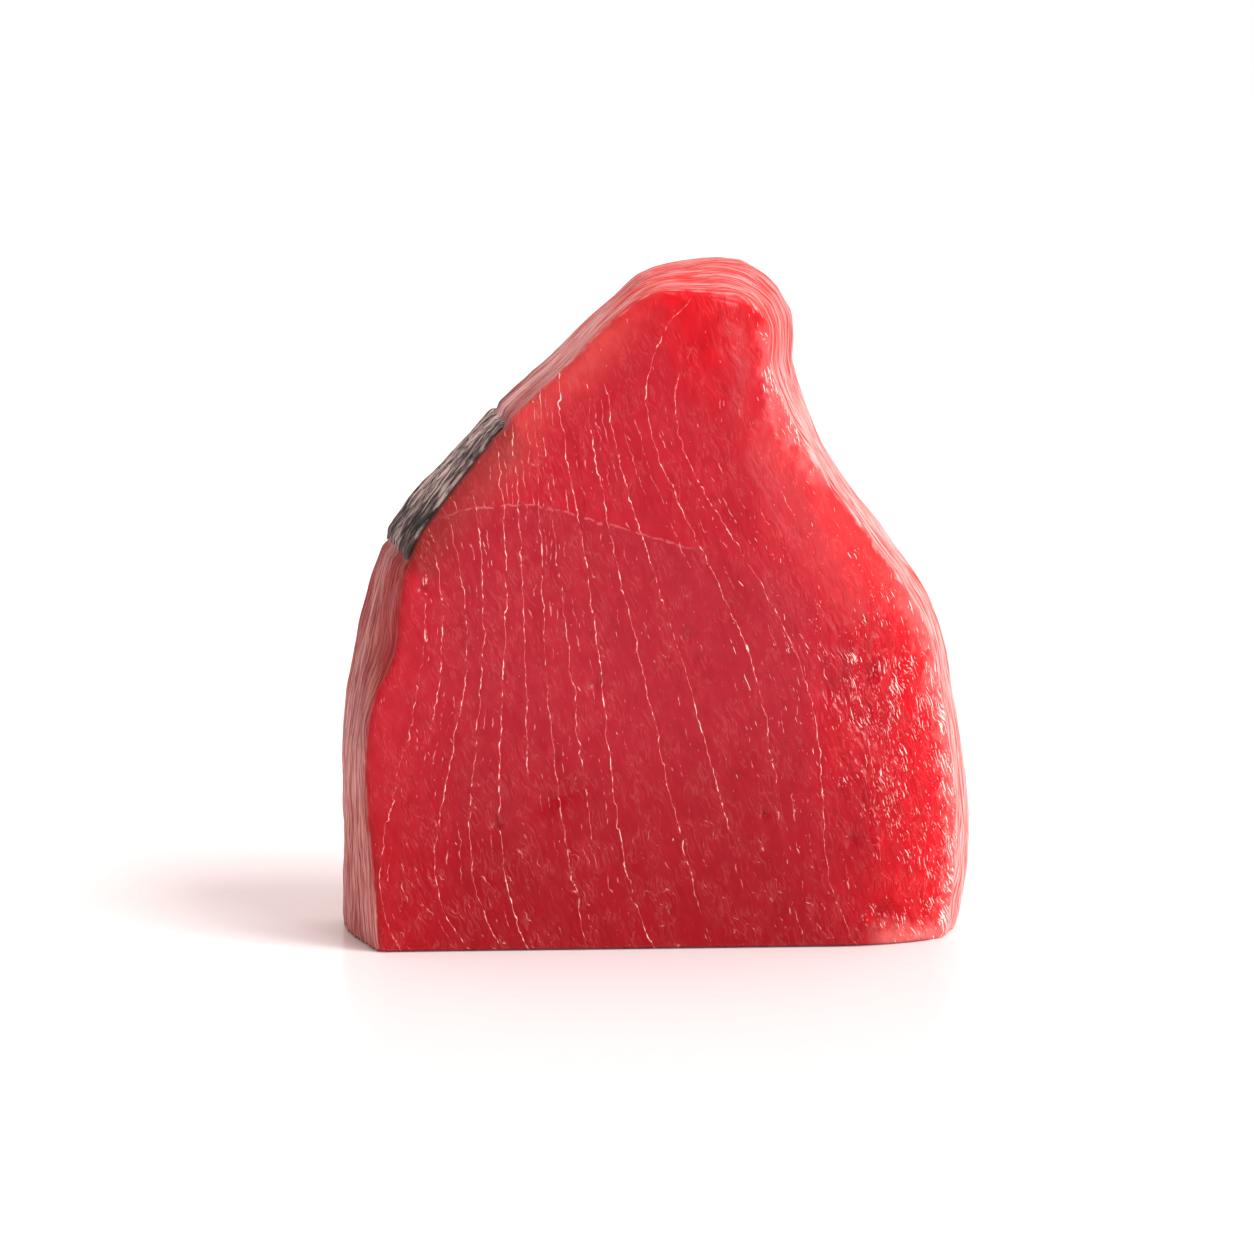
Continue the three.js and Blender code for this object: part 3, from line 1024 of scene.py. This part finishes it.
def stained_muscle(graph, place, on):
    """The colour of the cut face under its lines, and where film lies over its rim."""
    x, y, z = graph.split(place)
    mottle = on["mottle"]
    colour = muscle_colour(graph, place, on)
    colour = graph.mix((0 - mottle).step(-0.20, 0.30) * 0.20, colour, DARK_SPOT_AND_PIT_SHADE)
    # Painted shade: the hollows of the pits are darkened.
    colour = graph.mix((0 - on["pit"]).step(0.05, 0.6) * 0.25, colour, DARK_SPOT_AND_PIT_SHADE)
    beside_skin = between_steps(on["along"], SKIN_START, SKIN_END, 3.0)
    stain = beside_skin * (on["crease"] + mottle * 8.0).step(-STAIN_DEPTH, 0.0)
    further_up = on["along"].step(SKIN_START, SKIN_START + STAIN_FADE)
    stain_colour = graph.mix(further_up, FILM_BROWN, STAIN)
    colour = graph.mix(stain * 0.80, colour, stain_colour)
    low_right = x.step(28, 42) * (1 - z.step(52, 70))
    peak_right = x.step(10, 18) * between_steps(z, 80, 102, 4)
    rim_film = low_right.most(peak_right) * (on["crease"] + mottle * 7).step(-4.0, -0.6)
    low_film = between_steps(x, 38, 60, 5) * (1 - (z + mottle * 4).step(1.0, 5.0))
    colour = graph.mix((rim_film * 0.30).most(low_film * 0.38), colour, LINE)
    return colour, rim_film


print("stain reaches", STAIN_DEPTH, "mm into the face")

# %% [markdown]
# Over the muscle lie the pale lines and fibres, then the white glints, which are painted highlights.
# They crowd together where it is wet and at the rim on the right. The surface is glossy, and light
# goes a few millimetres in.

# %% Cut surface
FLESH_IOR = 1.40
FLESH_SCATTER = (1.0, 0.20, 0.16)  # red light goes much further in than green and blue
SCATTER_DEPTH = 3 * MM
CROSSING_WIDTH = 0.30  # mm, to each side
SHINE = (0.31, 2.3)  # mm, width and length of the longer glints
SPECKS = (0.27, 0.7)  # mm
SPECK_SHIFT = (9.0, 0.0, 5.0)  # mm, so that specks don't lie on the longer glints


def cut_surface(graph, place, on):
    """The shader of a cut face."""
    x, y, z = graph.split(place)
    muscle, rim_film = stained_muscle(graph, place, on)
    main, minor, beads = septum_lines(graph, place, on)
    ripples = along_ripples(graph, place, on["sway"])
    fibres = hair_fibres(graph, ripples, on["gaps"])
    crossing = 1 - (abs(on["above"] + on["ragged"] * 1.8) / CROSSING_WIDTH).step(0.2, 1.0)
    crossing = crossing * between_steps(x, -32, 0, 8) * on["mottle"].step(-0.12, 0.08) * 0.34
    pale = main.most(crossing).most(minor * 0.46).most(fibres * 0.12)
    colour = graph.mix(pale * 0.85, muscle, LINE)

    smooth_base = (1 - z.step(6, 26)) * (1 - x.step(28, 44))
    crowd = x.step(4, 44) * 0.44 + on["wet"] * 0.32 - smooth_base * 0.34
    crowd = crowd + rim_film * (0.40 + z.step(76, 90) * 0.55)
    limit = 0.235 - crowd * 0.15 - on["gaps"] * 0.30 - on["pit"].step(0.12, 0.45) * 0.085
    shine = glints(graph, ripples, *SHINE, limit)
    specks = glints(graph, graph.shift(ripples, SPECK_SHIFT), *SPECKS, limit + 0.02)
    # Painted highlights: white on the beads of the lines, and white strokes and dots where it is wet.
    painted_highlights = (main.most(minor * 0.2) * beads * 0.9).most(shine * 0.85).most(specks * 0.6)
    colour = graph.mix(painted_highlights, colour, PAINTED_GLINT)

    ripple = graph.noise(ripples, (0.62, 3.0, 2.0), 0.6) - 0.5
    swell = graph.noise(ripples, (1.9, 3.0, 4.5), 0.6) - 0.5
    height = swell * (0.12 + on["wet"] * 0.50) + ripple * (0.05 + on["wet"] * 0.36)
    smooth = x.step(8, 22) * z.step(46, 58)
    return graph.node("BsdfPrincipled", {}, {
        "Base Color": colour,
        "Roughness": 0.24 - on["wet"] * 0.08 + smooth * 0.16,
        "IOR": FLESH_IOR,
        "Specular IOR Level": 0.20,
        "Subsurface Weight": 0.75,
        "Subsurface Radius": FLESH_SCATTER,
        "Subsurface Scale": SCATTER_DEPTH,
        "Normal": graph.bump(height),
    })


print("light goes", round(SCATTER_DEPTH / MM), "mm into the flesh")

# %% [markdown]
# The membrane is drier than the cut, so it is less glossy, and no light comes back through it. One
# material holds both surfaces and mixes them at the edge between face and flank. Along that edge the
# film is torn, most of all at the peak and on the right, so a noise makes the border ragged.

# %% Flesh material
def membrane_surface(graph, place, on):
    """The shader of the flank."""
    colour, height = membrane(graph, place, on)
    return graph.node("BsdfPrincipled", {}, {
        "Base Color": colour,
        "Roughness": 0.42,
        "IOR": FLESH_IOR,
        "Specular IOR Level": 0.25,
        "Normal": graph.bump(height),
    })


def tuna_flesh():
    graph = Graph(bpy.data.materials.new("tuna_flesh"))
    place = graph.place()
    names = ("crease", "along", "septum", "spacing", "strength", "above", "wet", "folds", "pit")
    on = {name: graph.attribute(name) for name in names}
    on["sway"] = graph.noise(place, (4, 4, 5), 1.0) - 0.5
    on["gaps"] = graph.noise(place, (3.0, 3.0, 4.5), 1.0) - 0.5
    on["ragged"] = graph.noise(place, (2.4, 2.4, 2.4), 2.0) - 0.5
    on["mottle"] = graph.noise(place, (1.8, 1.8, 2.4), 1.0, 0.6) - 0.5

    x, y, z = graph.split(place)
    torn = z.step(78, 100).most(x.step(15, 40))
    flank = (on["crease"] + on["ragged"] * (0.8 + torn * 2.2)).step(-0.3, 0.3 + torn * 0.7)
    cut = cut_surface(graph, place, on)
    film = membrane_surface(graph, place, on)
    return graph.finish(graph.node("MixShader", {}, {0: flank, 1: cut, 2: film}))


flesh.data.materials.append(tuna_flesh())
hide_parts("tuna_flesh")
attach(flesh, "root")
print("flesh material has", len(flesh.data.materials[0].node_tree.nodes), "nodes")

# %% [markdown]
# The strip of dark skin
#
# The skin is thicker than the membrane, about as thick as card, and it dries in ridges that run along
# the fish, with near-black creases between them. It is made from its solid in the same way as the
# flesh, with a finer net because it is small. Its underside goes down into the flesh, its front edge
# stands back a little behind the face, and it thins out towards both ends.

# %% Skin mesh
skin = fine_copy("skin_strip", "dark_skin", voxel=0.20 * MM, smooth_steps=3)
skin_points = points_of(skin)
skin_normals = normals_of(skin)
strip_along = along_outline(skin_points)


def ridge_relief(points, along):
    """0 in the creases and up to 1 on the ridges, which run along the strip."""
    sheet = on_sheet(points, along)
    sheet[:, 1] += 1.0 * bumps(sheet, (9, 6, 1), 61.3) + 0.3 * bumps(sheet, (2.5, 2, 1), 63.7)
    ridges = np.minimum(np.abs(bumps(sheet, (12, 2.6, 1), 67.1)) * 3.8, 1)
    small = np.minimum(np.abs(bumps(sheet, (7, 1.2, 1), 71.9)) * 3.8, 1)
    return ridges * (0.65 + 0.35 * small)


ridge = ridge_relief(skin_points, strip_along)
print("ridges cover", round(float((ridge > 0.5).mean()), 2), "of the strip")

# %% [markdown]
# The ridges stand out from the strip's upper side, and its underside is pushed down into the flesh.
# Then the strip as a whole sinks in a little, and further at its ends and at the back, so that its
# edges meet the membrane without a step.

# %% Setting the skin into the flesh
RIDGE_HEIGHT = 0.34  # mm
ROOT_DEPTH = 0.30  # mm, by which the underside goes further down
SINK = 0.34  # mm
END_SINK = 0.42  # mm, more at the ends and at the back
EDGE_BACK = 0.35  # mm, from the face
REAR_EDGE_BACK = 1.1  # mm, from the back of the block

facing_out = (skin_normals * outward(skin_points)).sum(1)
top_share = smoothstep(facing_out, 0.15, 0.7)
under_share = smoothstep(-facing_out, 0.2, 0.7)
end_thinning = 1 - rising(strip_along, SKIN_START + 1.5, SKIN_END - 1.0, 1.8)
depth = skin_points[:, 1]
front_share = 1 - smoothstep(depth, depth.min() + 0.5, depth.min() + 4)
rear_share = smoothstep(depth, depth.max() - 2.5, depth.max() - 0.3)
shift = RIDGE_HEIGHT * ridge * top_share + ROOT_DEPTH * under_share
moved = skin_points + skin_normals * shift[:, None]
moved -= outward(skin_points) * (SINK + END_SINK * np.maximum(end_thinning, rear_share))[:, None]
moved[:, 1] += EDGE_BACK * front_share - REAR_EDGE_BACK * rear_share
move_points(skin, moved)
store(skin, "along", strip_along)
store(skin, "ridge", ridge)
store(skin, "outside", top_share)
print("skin shift", shift.min().round(2), "to", shift.max().round(2), "mm")

# %% [markdown]
# Its colour follows the same relief: pale grey with a pink cast on the ridges, nearly black in the
# creases. The creases crowd together at the front edge and towards the lower end. The strip's edges
# and underside get painted shade, near black.

# %% Skin material
RIDGE_GREY = rgb(236, 212, 205)
MID_GREY = rgb(178, 151, 144)
CREASE_BLACK_AND_EDGE_SHADE = rgb(30, 22, 21)
SKIN_IOR = 1.38


def dark_skin():
    graph = Graph(bpy.data.materials.new("dark_skin"))
    place = graph.place()
    along, ridge, outside = [graph.attribute(name) for name in ("along", "ridge", "outside")]
    y = graph.split(place)[1]
    drift = graph.noise(place, (5, 5, 5), 1.0) - 0.5
    sheet = graph.warp(graph.vector(along, y + drift * 3.0, 0.0), 4.0, 1.1)
    scratches = graph.noise(sheet, (8.0, 1.1, 1.0), 3.0, 0.6) - 0.5
    patches = graph.noise(sheet, (7.0, 3.0, 1.0), 2.0) - 0.5
    lower = 1 - along.step(SKIN_START + 2, SKIN_START + 14)
    front = 1 - y.step(-13, -3)
    worn = (patches * 1.6 + scratches * 1.2 - lower * 0.35 - front * 0.30).step(-0.55, 0.35)
    colour = graph.mix(worn, MID_GREY, RIDGE_GREY)
    reach = 0.075 + lower * 0.09 + front * 0.07
    thin = 1 - abs(scratches + 0.04).step(0.01, reach)
    colour = graph.mix(thin * 0.92, colour, CREASE_BLACK_AND_EDGE_SHADE)
    raised = (ridge + scratches * 0.6 - (lower + front) * 0.10).step(0.14, 0.42)
    colour = graph.mix((1 - raised) * 0.95, colour, CREASE_BLACK_AND_EDGE_SHADE)
    # Painted shade: the strip's edges and underside, which don't face outward, are darkened.
    colour = graph.mix((1 - outside) * 0.7, colour, CREASE_BLACK_AND_EDGE_SHADE)
    shader = graph.node("BsdfPrincipled", {}, {
        "Base Color": colour,
        "Roughness": 0.58 - worn * 0.10,
        "IOR": SKIN_IOR,
        "Specular IOR Level": 0.35,
        "Normal": graph.bump(scratches * 1.7),
    })
    return graph.finish(shader)


skin.data.materials.append(dark_skin())
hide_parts("skin_strip")
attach(skin, "root")
print("skin material has", len(skin.data.materials[0].node_tree.nodes), "nodes")
